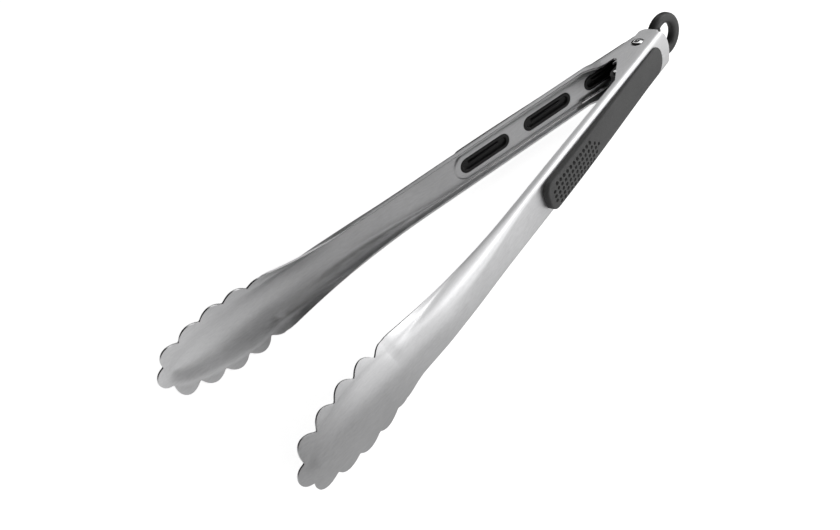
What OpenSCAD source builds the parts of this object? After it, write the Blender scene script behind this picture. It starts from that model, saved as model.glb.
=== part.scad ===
// Spring loaded kitchen tongs with a pull-ring lock.
// Two stamped sheet arms turn on one rivet, and a torsion spring holds them open.
//
// Frame: the origin is the middle of the pivot rivet and +Z runs along the rivet.
// +X runs between the open arms towards the tips. The outer arm lies at +Y and the
// inner arm, whose ears sit between the outer ones, lies at -Y.
// Each arm is drawn closed: X along the arm, Y outwards through its back, Z across it.

/* [Arms] */
// Distance from the pivot to the tips
reach = 289; // [265:0.5:320]
// Thickness of the sheet
sheet_t = 1; // [0.8:0.1:1.4]
// Width of the handle channel, outside
handle_w = 20; // [18:0.5:24]
// Height of the back above the centre plane at the pivot
back_h = 8.6; // [8.2:0.1:10]
// Rise of the back per millimetre along the handle
back_slope = 0.0045; // [0:0.0005:0.01]
// Height of the flange edges above the centre plane along the handle
rim_h = 4.8; // [4:0.1:5.6]
// Outside radius of the fold between back and flange
fold_r = 2; // [1.6:0.1:2.6]
// Angle of each arm from the centre plane when open
open_angle = 10.17; // [8:0.01:12]

/* [Neck and head] */
// Distance from the pivot to where the neck starts to widen
neck_x = 130; // [122:1:150]
// Distance from the pivot to where the neck meets the last scallop
corner_x = 223; // [219:0.5:224]
// Outside radius that the fold grows to along the neck
neck_fold_r = 7; // [4:0.1:8]
// Extra height of the back at the neck
neck_rise = 2.5; // [1:0.1:3.5]
// Distance from the pivot to the highest point of the neck
crest_x = 195; // [180:1:205]
// Distance from the pivot to the widest place of the head
head_x = 246.8; // [242:0.2:252]
// Widest width of the head, over the scallops
head_w = 39; // [35:0.1:42]
// Height of the head's rim above the centre plane where the neck joins it
head_rim_h = 2; // [1.6:0.1:3]
// Height of the rim at the tip
tip_rim_h = 0.1; // [0.05:0.05:0.6]
// Height of the back at the tip
tip_back_h = 4; // [3.4:0.1:5]
// Length of one scallop along the rim
scallop_pitch = 12.95; // [11:0.05:13.6]
// Length of the scallops along the sides, from the line through the notches
scallop_depth = 3.9; // [2.4:0.1:4.2]
// Length of the two scallops beside the one at the tip
front_depth = 5.2; // [3:0.1:5.4]
// Length of the scallop at the tip
tip_depth = 3.2; // [2:0.1:4]
// Scallops on each side of the middle one
side_scallops = 5; // [4:1:5]
// Slope of the scalloped rim below the back's plane
rim_slope = 18; // [12:1:24]

/* [Ears] */
// Depth of the outer ears beyond the centre plane
outer_ear_depth = 3.9; // [3.4:0.1:4.2]
// Depth of the inner ears beyond the centre plane
inner_ear_depth = 3.4; // [3:0.1:3.6]
// Distance from the pivot to the rear edge of the outer ears
outer_rear = 12; // [11:0.5:14]
// Distance from the pivot to the rear edge of the inner ears
inner_rear = 11; // [10:0.5:12]
// Bulge of the rounded rear end of the outer arm's back
rear_bulge = 2.4; // [1:0.1:3]
// Where the ears start to slope up to the flanges
ear_front = 14; // [12:0.5:15]
// Where the slope meets the flanges
ear_end = 33; // [30:0.5:36]
// Corner radius at the rear of the ears
ear_corner = 4; // [2:0.5:6]
// Gap between an inner and an outer ear
ear_gap = 0.2; // [0.1:0.05:0.4]

/* [Pivot] */
// Diameter of the rivet's shank
rivet_d = 4.4; // [4:0.1:5]
// Diameter of the rivet's heads
rivet_head_d = 6; // [5.4:0.1:7]
// Height of a rivet head
rivet_head_h = 0.9; // [0.6:0.1:1.4]
// Diameter of the hollow in the rivet's end
rivet_bore_d = 2.6; // [1.5:0.1:3]
// Depth of the hollow
rivet_bore_depth = 5; // [2:0.5:7]
// Wall of the bush inside the spring
bush_wall = 0.7; // [0.5:0.1:1]
// Radial clearance of the pieces that turn on the rivet
pivot_fit = 0.05; // [0.02:0.01:0.1]

/* [Spring] */
// Diameter of the spring wire
wire_d = 1.7; // [1.4:0.1:1.9]
// Whole turns of the coil
coil_turns = 4; // [3:1:4]
// Space between the turns
coil_gap = 0.2; // [0.1:0.05:0.25]
// Length of the legs from the pivot
leg_reach = 37; // [34:0.5:42]
// Clearance between the coil and its bush and between a leg and its arm
coil_fit = 0.25; // [0.15:0.05:0.35]

/* [Lock] */
// Travel of the pull ring
lock_travel = 8; // [6:0.5:8.5]
// Distance of the lock pin from the pivot while the ring is pushed in
lock_pin_x = 24; // [23.5:0.1:24.5]
// Diameter of the lock pin
lock_pin_d = 2.5; // [2:0.1:2.6]
// Clearance of the lock pin in its hooks
hook_fit = 0.2; // [0.1:0.05:0.3]
// Thickness of a prong of the slider
prong_t = 2; // [1.5:0.1:2.1]
// Height of a prong below the outer arm's centre plane
prong_below = 3.2; // [3:0.05:3.3]
// Height of a prong above the outer arm's centre plane
prong_above = 3.8; // [3.2:0.1:3.9]
// Clearance of the slider beside the ears and around the rivet
slider_gap = 0.3; // [0.2:0.05:0.35]
// Hole of the hanging ring
ring_hole_d = 12.7; // [10:0.1:14]
// Thickness of the hanging ring, both ways
ring_t = 5.3; // [4:0.1:6]
// Radius on the edges of the hanging ring
ring_edge_r = 2.1; // [0.5:0.1:2.3]
// Distance of the ring's centre behind the pivot while pushed in
ring_x = 22.4; // [22.4:0.1:26]
// Height of the ring above the outer arm's centre plane
ring_lift = 1.4; // [1:0.1:2]

/* [Grips] */
// Width of a grip
grip_w = 15; // [12:0.5:15.5]
// Distance the grip reaches behind the pivot
grip_rear = 5; // [4:0.5:8]
// Distance from the pivot to the front end of the grip
grip_front = 113.5; // [112.5:0.5:120]
// Corner radius at the front of a grip, seen from outside
grip_corner = 5; // [4:0.5:6]
// Corner radius at the rear of a grip
grip_rear_corner = 7; // [4:0.5:7]
// Height of the grip's long edges at its rear end
grip_rear_h = 1.4; // [1.3:0.1:1.8]
// Height of the grip's long edges at its front end
grip_front_h = 3.2; // [2.2:0.1:3.6]
// Height of the highest place of the grip above the back
grip_h = 4.9; // [4.2:0.1:5.4]
// Distance from the pivot to the highest place of the grip
grip_crest_x = 86; // [76:1:96]
// How much lower the middle of the grip is at its front end
grip_drop = 1; // [0.4:0.1:1.2]
// How flat the top of the grip is between its shoulders
grip_flat = 3.5; // [2:0.1:5]
// Thickness of the hard core's plate inside the grip
core_t = 0.8; // [0.7:0.1:1]
// Soft wall around the edge of the core
core_margin = 1.3; // [1.1:0.05:1.3]
// Length of a slot in the back of an arm
slot_l = 30.5; // [24:0.5:34]
// Width of a slot
slot_w = 8.2; // [6:0.1:9]
// Distance between slots
slot_pitch = 40; // [36:0.5:41]
// Distance from the pivot to the middle of the first slot
slot_x = 17; // [17:0.5:20]
// Slots along each arm
slot_count = 3; // [2:1:3]
// Height of the raised seat inside each arm that the front slots are cut through
seat_h = 0.4; // [0.2:0.05:0.5]
// Width of the seat
seat_w = 14.6; // [12:0.1:15.4]
// Distance from the pivot to the rear end of the seat
seat_rear = -3; // [-3:0.5:1]
// Distance from the pivot to the rounded front end of the seat
seat_front = 116; // [114:0.5:117]
// Clearance of the core and cover against the arm and of the bosses in the slots
grip_fit = 0.1; // [0.05:0.05:0.2]
// Wall of a boss around its hollow
boss_wall = 1.7; // [1.2:0.1:2.2]
// How far the bosses stand out inside the arm
boss_proud = 0.6; // [0.2:0.1:1]

/* [Hidden] */
$fn = 64;
eps = 0.01;

steel = "silver";
dark_plastic = [0.16, 0.16, 0.17];
soft_grey = [0.33, 0.33, 0.34];

// Half widths and the faces that other pieces follow
outer_half = handle_w / 2;
inner_half = outer_half - sheet_t - ear_gap;
inner_face = inner_half - sheet_t;
rivet_r = rivet_d / 2;

// Smooth step from 0 to 1
function ease(t) = let(u = min(1, max(0, t))) u * u * (3 - 2 * u);
function mix(a, b, t) = a + (b - a) * t;

// ---- Shape of an arm, closed, described across one half from its middle to its rim ----

// Outside height of the back at a distance x from the pivot
neck_start = 115;
crest_h = back_h + back_slope * crest_x + neck_rise;
crest_soft = 0.12;
function back_v(x) =
    let(fall = (x - crest_x) / (reach - crest_x))
    x <= crest_x
        ? back_h + back_slope * x + neck_rise * ease((x - neck_start) / (crest_x - neck_start))
        : mix(crest_h, tip_back_h, (1 + crest_soft) * fall * fall / (fall + crest_soft));

// How far the folded channel has opened into the shallow dish of the head
open_start = 165;
open_end = 246;
function dish(x) = ease((x - open_start) / (open_end - open_start));

// Slope of the rim below the back's plane
function slope(x) = mix(90, rim_slope, dish(x));

// The notches between the scallops lie on half an ellipse about head_x
nose_l = reach - head_x - tip_depth * cos(rim_slope);
nose_half = head_w / 2 - scallop_depth * cos(rim_slope);
function nose_point(a) = [head_x + nose_l * sin(a), nose_half * cos(a)];
function nose_speed(a) = norm([nose_l * cos(a), nose_half * sin(a)]) * PI / 180;
function nose_normal(a) =
    let(n = [nose_half * sin(a), nose_l * cos(a)])
    n / norm(n);

// Angles of even steps along that ellipse, from the tip back to the last scallop
scallop_steps = 6;
head_steps = side_scallops * scallop_steps;
step_l = scallop_pitch / scallop_steps;
substeps = 4;
function walk(a, n) = n == 0 ? a : walk(a - step_l / substeps / nose_speed(a), n - 1);
head_angles = [for (i = 0, a = 90; i <= head_steps; a = walk(a, substeps), i = i + 1) a];
join_x = nose_point(head_angles[head_steps])[0];
join_half = nose_point(head_angles[head_steps])[1] + scallop_depth * cos(slope(join_x));

// Length of the rim beyond that ellipse at step i: round lobes with sharp notches
function lobe(i) =
    let(
        lobes = i / scallop_steps + 0.5,
        u = lobes % 1 - 0.5,
        depth = lobes < 1 ? tip_depth : lobes < 2 ? front_depth : scallop_depth
    )
    depth * (1 - 4 * u * u);

// Lowest height of the flange edge
rim_start = 140;
function flange_v(x) =
    x <= join_x
        ? mix(rim_h, head_rim_h, ease((x - rim_start) / (join_x - rim_start)))
        : mix(head_rim_h, tip_rim_h, (x - join_x) / (reach - join_x));
function ear_v(x, depth) =
    mix(-depth, rim_h, min(1, max(0, (x - ear_front) / (ear_end - ear_front))));
function rim_v(x, depth) = x < ear_end ? ear_v(x, depth) : flange_v(x);

// Outside half width at the rim, up to the join with the head
narrow_end = 20;
full_start = 30;
neck_power = 2.8;
function rim_half(x, rear_half) =
    x <= neck_x
        ? mix(rear_half, outer_half, ease((x - narrow_end) / (full_start - narrow_end)))
        : mix(outer_half, join_half, pow(min(1, (x - neck_x) / (corner_x - neck_x)), neck_power));

// Half section between the middle (0, w) and the edge (h, e): channel, then dish
fold_steps = 4;
flat_share = 0.6;
dish_shares = [0, 0.3, 0.5, 0.62, 0.72, 0.81, 0.88, 0.94, 1];
least_flange = 0.5;
flare = 0.6;
function fold(x) = mix(fold_r, neck_fold_r, ease((x - neck_start) / (crest_x - neck_start)));
function channel(h, w, e, r) = concat(
    [[0, w], [flat_share * (h - r), w]],
    [for (k = [0:fold_steps])
        let(b = 90 * k / fold_steps)
        [h - r + r * sin(b), w - r + r * cos(b)]],
    [[h, (w - r + e) / 2], [h, e]]
);
function half_section(h, w, e, k, r) =
    let(c = channel(h, w, e, min(r, w - e - least_flange)))
    [for (j = [0:len(c) - 1])
        let(s = dish_shares[j])
        mix(c[j], [s * h, e + (w - e) * (1 - s * s) * (1 - flare * s * s)], k)];
function side_normal(p, j) =
    let(
        last = len(p) - 1,
        d = j == 0 ? [1, 0] : j == last ? p[j] - p[j - 1] : p[j + 1] - p[j - 1]
    )
    [-d[1], d[0]] / norm(d);

// One half ring: outside then inside points, from the middle to the rim.
// c and r are the plan places of its middle and its edge, n the outline's direction,
// w and e their heights, and lip the length of the rim beyond r.
function half_ring(c, r, n, w, e, lip) =
    let(
        h = norm(r - c),
        u = (r - c) / h,
        p = half_section(h, w, e, dish(r[0]), fold(c[0])),
        q = [for (j = [0:len(p) - 1]) p[j] - sheet_t * side_normal(p, j)],
        out = lip * cos(slope(r[0])) * n,
        rim = [out[0], -lip * sin(slope(r[0])), out[1]]
    )
    [for (s = [p, q])
        let(line = [for (m = s) [c[0] + m[0] * u[0], m[1], c[1] + m[0] * u[1]]])
        concat(line, [line[len(line) - 1] + rim])];

// Rings of the neck and handle at a distance x from the pivot
least_lip = 0.3;
lip_growth = 1.25;
function handle_ring(x, depth, rear_half) =
    let(
        lip = mix(least_lip, scallop_depth, min(1, dish(x) * lip_growth)),
        half = rim_half(x, rear_half) - lip * cos(slope(x)),
        edge = rim_v(x, depth) + lip * sin(slope(x)) + sheet_t * dish(x)
    )
    half_ring([x, 0], [x, half], [0, 1], back_v(x), edge, lip);

// Rings of the head; their middles stop short of the tip so that the last ring keeps its length
spine_end = 8;
function head_ring(i) =
    let(
        a = head_angles[i],
        r = nose_point(a),
        c = [head_x + (nose_l - (a > 0 ? spine_end : 0)) * sin(a), 0],
        edge = flange_v(r[0]) + scallop_depth * sin(slope(r[0])) + sheet_t * dish(r[0])
    )
    half_ring(c, r, nose_normal(a), back_v(c[0]), edge, max(least_lip, lobe(i)));

// A closed skin through half rings and their mirror images, sewn together at the tip
module arm_sheet(depth, rear_half, rear) {
    stations = concat(
        [-rear, ear_front],
        [for (x = [narrow_end:2.5:full_start]) x],
        [ear_end, neck_start],
        [for (x = [neck_x:9:join_x - 5]) x]
    );
    halves = concat(
        [for (x = stations) handle_ring(x, depth, rear_half)],
        [for (i = [head_steps:-1:0]) head_ring(i)]
    );
    n = len(halves);
    m = len(halves[0][0]);
    flip = [1, 1, -1];
    points = concat(
        [for (h = halves) for (s = [0, 1]) for (j = [0:m - 1]) h[s][j]],
        [for (h = halves) for (s = [0, 1]) for (j = [0:m - 1])
            [h[s][j][0], h[s][j][1], -h[s][j][2]]]
    );
    // Index of a point: ring i, skin s, place j from -(m-1) to m-1; the middle and the tip
    // ring are shared between both halves
    function at(i, s, j) = (j < 0 && i < n - 1 ? n * 2 * m : 0) + (i * 2 + s) * m + abs(j);
    function quad(a, b, c, d) = [[a, c, b], [a, d, c]];
    skins = [for (i = [0:n - 2]) for (j = [-(m - 1):m - 2]) each concat(
        quad(at(i, 0, j), at(i, 0, j + 1), at(i + 1, 0, j + 1), at(i + 1, 0, j)),
        quad(at(i, 1, j + 1), at(i, 1, j), at(i + 1, 1, j), at(i + 1, 1, j + 1))
    )];
    rims = [for (i = [0:n - 2]) each concat(
        quad(at(i, 0, m - 1), at(i, 1, m - 1), at(i + 1, 1, m - 1), at(i + 1, 0, m - 1)),
        quad(at(i, 1, 1 - m), at(i, 0, 1 - m), at(i + 1, 0, 1 - m), at(i + 1, 1, 1 - m))
    )];
    end = [for (j = [-(m - 1):m - 2]) each
        quad(at(0, 0, j + 1), at(0, 0, j), at(0, 1, j), at(0, 1, j + 1))];
    polyhedron(points, concat(skins, rims, end));
}

// ---- Common pieces ----

// Places a piece drawn on a closed arm onto the open one
module on_outer() {
    rotate([0, 0, open_angle]) children();
}
module on_inner() {
    rotate([0, 0, -open_angle]) mirror([0, 1, 0]) children();
}

// Places a piece drawn on the plane y = 0 onto the outside of an arm's back
module on_back() {
    translate([0, back_h, 0]) rotate([0, 0, atan(back_slope)]) children();
}

// A plate between heights y0 and y1 whose plan is drawn with Y for the width
module plate(y0, y1) {
    translate([0, y1, 0]) rotate([90, 0, 0]) linear_extrude(y1 - y0) children();
}

module stadium(l, w) {
    square([l - w, w], center = true);
    for (x = [-1, 1] * (l - w) / 2) translate([x, 0]) circle(d = w);
}

module at_slots() {
    for (i = [0:slot_count - 1]) translate([slot_x + i * slot_pitch, 0]) children();
}

// Plan of the grip, a given margin inside its outline
module grip_plan(margin) {
    grip_end(grip_corner, grip_front, grip_corner, margin);
    mirror([1, 0]) grip_end(-2 * grip_rear_corner, grip_rear, grip_rear_corner, margin);
}
module grip_end(start, end, corner, margin) {
    r = corner - margin;
    half = grip_w / 2 - margin;
    along = end - margin - r;
    translate([start, -half]) square([along - start, 2 * half]);
    translate([along, r - half]) square([r, 2 * (half - r)]);
    for (z = [-1, 1] * (half - r)) translate([along, z]) circle(r);
}

// Deep cutter along Z for bores through both ears
module cross_bore(r) {
    cylinder(h = 2 * handle_w, r = r, center = true);
}

// ---- Arms ----

// Cuts at the rear: square ears with a rounded lower corner, and a bowed end to the back
module rear_cut(rear, depth, bulge) {
    far = rear + 10;
    split = back_h - sheet_t - fold_r;
    linear_extrude(2 * handle_w, center = true) difference() {
        translate([-far, -2 * depth]) square([far - rear + ear_corner, 2 * depth + split]);
        translate([-rear, ear_corner - depth]) square([far, 2 * depth + split]);
        translate([ear_corner - rear, ear_corner - depth]) circle(ear_corner);
        translate([ear_corner - rear, -depth - 1]) square([far, 2 * depth + split]);
    }
    bow_half = outer_half - fold_r;
    bow_r = (bow_half * bow_half + bulge * bulge) / (2 * bulge);
    plate(split - eps, 2 * back_h) difference() {
        translate([-far, -handle_w]) square([far - rear / 2, 2 * handle_w]);
        translate([bow_r - rear - bulge, 0]) circle(bow_r);
        translate([-rear / 2, -handle_w]) square([far, 2 * handle_w]);
    }
}

module seat_plan() {
    translate([seat_rear, -seat_w / 2]) square([seat_front - seat_rear - seat_w / 2, seat_w]);
    translate([seat_front - seat_w / 2, 0]) circle(d = seat_w);
}

module bare_arm(depth, rear_half, rear, bulge, bore_r) {
    difference() {
        union() {
            arm_sheet(depth, rear_half, rear + bulge + 1);
            on_back() plate(-sheet_t - seat_h, -sheet_t / 2) seat_plan();
        }
        rear_cut(rear, depth, bulge);
        cross_bore(bore_r);
        on_back() plate(-2 * fold_r, 1) at_slots() stadium(slot_l, slot_w);
    }
}

module outer_arm() {
    color(steel) on_outer()
        bare_arm(outer_ear_depth, outer_half, outer_rear, rear_bulge, rivet_r + eps);
}

// The hook for the lock pin is a level slot running back from the front of the inner ears
hook_x = lock_pin_x - lock_travel;
hook_r = lock_pin_d / 2 + hook_fit;
inner_bulge = 0.4;
module inner_arm() {
    color(steel) on_inner() difference() {
        bare_arm(inner_ear_depth, inner_half, inner_rear, inner_bulge, rivet_r + pivot_fit);
        translate([hook_x, 0, 0]) cross_bore(hook_r);
        translate([hook_x, -hook_r, -handle_w]) cube([ear_end - hook_x, 2 * hook_r, 2 * handle_w]);
    }
}

// ---- Grips ----

// Height of the grip's long edges and of its middle above the back
function grip_share(x, end) = (x + grip_rear) / (end + grip_rear);
function grip_edge(x) = mix(grip_rear_h, grip_front_h, grip_share(x, grip_front));
function grip_middle(x) =
    x < grip_crest_x
        ? mix(grip_rear_h, grip_h, ease(grip_share(x, grip_crest_x)))
        : grip_h - grip_drop * pow((x - grip_crest_x) / (grip_front - grip_crest_x), 2);

// Block with the grip's arched and crowned top, larger than its plan at both ends
grip_step = 6;
grip_strips = 12;
block_margin = 0.5;
module grip_block() {
    half = grip_w / 2 + block_margin;
    count = ceil((grip_front + grip_rear) / grip_step);
    m = grip_strips + 3;
    points = [for (i = [0:count])
        let(
            x = mix(-grip_rear - block_margin, grip_front + block_margin, i / count),
            edge = grip_edge(x),
            rise = max(0, grip_middle(x) - edge),
            top = [for (k = [0:grip_strips])
                let(z = 2 * k / grip_strips - 1)
                [x, edge + rise * (1 - pow(abs(z), grip_flat)), z * half]]
        )
        each concat([[x, -block_margin, -half]], top, [[x, -block_margin, half]])];
    walls = [for (i = [0:count - 1]) for (j = [0:m - 1])
        let(a = i * m + j, b = i * m + (j + 1) % m)
        each [[a, b + m, b], [a, a + m, b + m]]];
    ends = [for (j = [1:m - 2])
        let(a = count * m)
        each [[0, j, j + 1], [a, a + j + 1, a + j]]];
    polyhedron(points, concat(walls, ends));
}

module grip_core() {
    boss_l = slot_l - 2 * grip_fit;
    boss_w = slot_w - 2 * grip_fit;
    inside = sheet_t + boss_proud;
    on_back() difference() {
        union() {
            plate(grip_fit, grip_fit + core_t) grip_plan(core_margin);
            plate(-inside, grip_fit + eps) at_slots() stadium(boss_l, boss_w);
        }
        plate(-2 * inside, 0) at_slots()
            stadium(boss_l - 2 * boss_wall, boss_w - 2 * boss_wall);
    }
}

module grip_cover() {
    on_back() difference() {
        intersection() {
            plate(grip_fit, 2 * grip_h) grip_plan(0);
            grip_block();
        }
        plate(-1, grip_fit + core_t + eps) grip_plan(core_margin - eps);
    }
}

module outer_grip_core() {
    color(dark_plastic) on_outer() grip_core();
}
module inner_grip_core() {
    color(dark_plastic) on_inner() grip_core();
}
module outer_grip_cover() {
    color(soft_grey) on_outer() grip_cover();
}
module inner_grip_cover() {
    color(soft_grey) on_inner() grip_cover();
}

// ---- Pivot ----

// Rivet with two low heads and a hollow in its upper end
module pivot_rivet() {
    head_r = rivet_head_d / 2;
    cap_r = (head_r * head_r + rivet_head_h * rivet_head_h) / (2 * rivet_head_h);
    color("gainsboro") difference() {
        union() {
            cylinder(h = 2 * outer_half + eps, r = rivet_r, center = true);
            for (side = [0, 1]) mirror([0, 0, side]) translate([0, 0, outer_half])
                intersection() {
                    cylinder(h = rivet_head_h, r = head_r);
                    translate([0, 0, rivet_head_h - cap_r]) sphere(cap_r, $fn = 96);
                }
        }
        translate([0, 0, outer_half + rivet_head_h - rivet_bore_depth])
            cylinder(h = rivet_bore_depth + 1, d = rivet_bore_d);
    }
}

// Bush inside the spring, between the slider's prongs
prong_z = inner_face - slider_gap - prong_t;
bush_half = prong_z - slider_gap;
bush_r = rivet_r + pivot_fit + bush_wall;
module spring_bush() {
    color("white") difference() {
        cylinder(h = 2 * bush_half, r = bush_r, center = true);
        cross_bore(rivet_r + pivot_fit);
    }
}

// ---- Torsion spring ----

wire_r = wire_d / 2;
coil_r = bush_r + coil_fit + wire_r;
coil_half = coil_turns * (wire_d + coil_gap) / 2;
leg_z = prong_z + prong_t / 2;
leg_bend_x = 12;
leg_spread_x = 20;
// Angle of a leg from its arm so that its end nearly meets the seat inside the back
leg_end_v = back_h + back_slope * leg_reach - sheet_t - seat_h - wire_r - coil_fit;
leg_deg = asin((leg_end_v - coil_r) / leg_reach);
function leg_point(d, z, side) =
    let(a = open_angle, v = coil_r / cos(leg_deg) + d * tan(leg_deg))
    [d * cos(a) - v * sin(a), side * (d * sin(a) + v * cos(a)), side * z];
leg_line = [[leg_reach, leg_z], [leg_spread_x, leg_z], [leg_bend_x, coil_half], [3, coil_half]];

// The coil runs from the inner arm's leg at the bottom to the outer arm's leg at the top
coil_steps = 24;
wire_sides = 10;
coil_start = -90 - open_angle - leg_deg;
coil_sweep = 360 * coil_turns + 2 * coil_start;
coil_count = ceil(coil_steps * coil_sweep / 360);
spring_path = concat(
    [for (p = leg_line) leg_point(p[0], p[1], -1)],
    [for (i = [0:coil_count])
        let(b = coil_start - coil_sweep * i / coil_count)
        [coil_r * cos(b), coil_r * sin(b), mix(-coil_half, coil_half, i / coil_count)]],
    [for (k = [len(leg_line) - 1:-1:0]) leg_point(leg_line[k][0], leg_line[k][1], 1)]
);
function unit(v) = v / norm(v);
module torsion_spring() {
    n = len(spring_path);
    points = [for (i = [0:n - 1])
        let(
            t = unit(spring_path[min(i + 1, n - 1)] - spring_path[max(i - 1, 0)]),
            side = unit(cross([0, 0, 1], t)),
            up = cross(t, side)
        )
        for (j = [0:wire_sides - 1])
            let(b = 360 * j / wire_sides)
            spring_path[i] + wire_r * (cos(b) * side + sin(b) * up)];
    tube = [for (i = [0:n - 2]) for (j = [0:wire_sides - 1])
        let(a = i * wire_sides + j, b = i * wire_sides + (j + 1) % wire_sides)
        each [[a, a + wire_sides, b + wire_sides], [a, b + wire_sides, b]]];
    ends = [
        [for (j = [0:wire_sides - 1]) j],
        [for (j = [wire_sides - 1:-1:0]) (n - 1) * wire_sides + j]
    ];
    color("silver") polyhedron(points, concat(tube, ends));
}

// ---- Lock ----

// One prong of the slider, seen from the side, with a slot that runs on the rivet
prong_nose = 3;
prong_wall = 1.5;
prong_rear_below = 2.4;
prong_root = 5;
slot_r = rivet_r + slider_gap;
prong_step = slot_r + prong_wall;
module prong_plan() {
    back = ring_x - prong_root;
    difference() {
        union() {
            translate([-back, -prong_rear_below]) square([back, prong_rear_below + prong_above]);
            translate([-prong_step, -prong_below])
                square([prong_step + lock_pin_x, prong_below + prong_above]);
            translate([lock_pin_x, -prong_nose + 0.5]) square([prong_nose, 2 * prong_nose - 1]);
        }
        circle(slot_r);
        translate([0, -slot_r]) square([lock_travel, 2 * slot_r]);
        translate([lock_travel, 0]) circle(slot_r);
        translate([lock_pin_x, 0]) circle(lock_pin_d / 2 + eps);
    }
}

// Ring with rounded edges, level with the centre plane between the open arms
module pull_ring() {
    hole_r = ring_hole_d / 2;
    translate([-ring_x, ring_lift, 0]) rotate([90, 0, -open_angle]) rotate_extrude($fn = 96) {
        flat = ring_t - 2 * ring_edge_r;
        translate([hole_r + ring_edge_r, -ring_t / 2]) square([flat, ring_t]);
        translate([hole_r, -flat / 2]) square([ring_t, flat]);
        for (x = [ring_edge_r, ring_t - ring_edge_r]) for (y = [-1, 1] * flat / 2)
            translate([hole_r + x, y]) circle(ring_edge_r);
    }
}

module lock_slider() {
    color(dark_plastic) on_outer() {
        pull_ring();
        for (z = [prong_z, -prong_z - prong_t])
            translate([0, 0, z]) linear_extrude(prong_t) prong_plan();
    }
}

// The pin reaches into the hooks of the inner ears and stays inside the outer ones
module lock_pin() {
    half = inner_half + ear_gap / 2 - 0.15;
    color("gainsboro") on_outer() translate([lock_pin_x, 0, 0])
        cylinder(h = 2 * half, d = lock_pin_d, center = true);
}

outer_arm();
inner_arm();
outer_grip_core();
outer_grip_cover();
inner_grip_core();
inner_grip_cover();
pivot_rivet();
spring_bush();
torsion_spring();
lock_slider();
lock_pin();
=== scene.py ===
import math
import bmesh
import bpy
from mathutils import Matrix, Vector


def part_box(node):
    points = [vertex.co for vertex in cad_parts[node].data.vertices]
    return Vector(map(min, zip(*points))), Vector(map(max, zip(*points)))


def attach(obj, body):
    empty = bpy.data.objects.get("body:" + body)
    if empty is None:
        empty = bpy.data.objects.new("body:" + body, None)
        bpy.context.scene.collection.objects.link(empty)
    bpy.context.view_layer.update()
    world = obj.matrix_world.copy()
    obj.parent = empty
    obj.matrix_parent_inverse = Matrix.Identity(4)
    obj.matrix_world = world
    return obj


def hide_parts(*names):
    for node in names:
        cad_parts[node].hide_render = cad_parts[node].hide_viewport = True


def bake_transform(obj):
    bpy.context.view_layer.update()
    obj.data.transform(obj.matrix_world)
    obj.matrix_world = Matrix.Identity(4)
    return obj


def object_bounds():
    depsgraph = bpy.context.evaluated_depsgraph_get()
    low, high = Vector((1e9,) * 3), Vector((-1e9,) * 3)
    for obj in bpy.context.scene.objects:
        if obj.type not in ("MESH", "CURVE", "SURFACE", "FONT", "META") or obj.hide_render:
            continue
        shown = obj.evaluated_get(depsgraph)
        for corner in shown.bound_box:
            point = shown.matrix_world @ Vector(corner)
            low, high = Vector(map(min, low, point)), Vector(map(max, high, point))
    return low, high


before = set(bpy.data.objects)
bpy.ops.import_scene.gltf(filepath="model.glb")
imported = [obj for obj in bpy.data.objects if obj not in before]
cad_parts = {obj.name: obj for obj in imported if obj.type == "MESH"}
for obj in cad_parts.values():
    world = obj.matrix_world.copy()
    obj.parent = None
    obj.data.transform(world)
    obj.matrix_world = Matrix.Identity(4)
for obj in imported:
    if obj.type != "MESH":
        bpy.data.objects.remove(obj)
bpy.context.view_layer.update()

# Sizes are in millimetres, as in the part's source. An arm is drawn closed: X runs from the
# pivot along it, Y outwards through its back and Z across it, along the rivet.
MM = 0.001

# ---------------------------------------------------------------- sizes: arms
OPEN_ANGLE = math.radians(10.17)     # each arm from the centre plane
REACH = 289.0                        # pivot to tips
SHEET_T = 1.0
HANDLE_W = 20.0
BACK_H = 8.6                         # the back above the centre plane, at the pivot
BACK_SLOPE = 0.0045
RIM_H = 4.8                          # the flange edges above the centre plane
FOLD_R = 2.0
FOLD_STEPS = 8
LEAST_FLANGE = 0.5

# ---------------------------------------------------------------- sizes: neck and head
NECK_START = 115.0                   # the back starts to rise
NECK_X = 130.0                       # the neck starts to widen
NECK_STEP = 3.0
NECK_FOLD_R = 7.0
NECK_RISE = 2.5
NECK_POWER = 2.8
CORNER_X = 223.0                     # the neck meets the last scallop
CREST_X = 195.0                      # highest place of the back
CREST_SOFT = 0.12
DISH_START = 165.0                   # the channel starts to open into the head's dish
DISH_END = 246.0
RIM_START = 140.0                    # the flange edges start to come down
HEAD_X = 246.8                       # widest place of the head
HEAD_W = 39.0
HEAD_RIM_H = 2.0
TIP_RIM_H = 0.1
TIP_BACK_H = 4.0
RIM_SLOPE = math.radians(18)
SIDE_SCALLOPS = 5                    # on each side of the one at the tip
SCALLOP_PITCH = 12.95
SCALLOP_DEPTH = 3.9
SCALLOP_STEPS = 18
FRONT_DEPTH = 5.2                    # of the two scallops beside the one at the tip
TIP_DEPTH = 3.2
LEAST_LIP = 0.3
LIP_GROWTH = 1.25
EDGE_ROUND = 0.35
SPINE_END = 8.0                      # the head's middle line stops this far short of its ellipse
FLARE = 0.6

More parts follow.
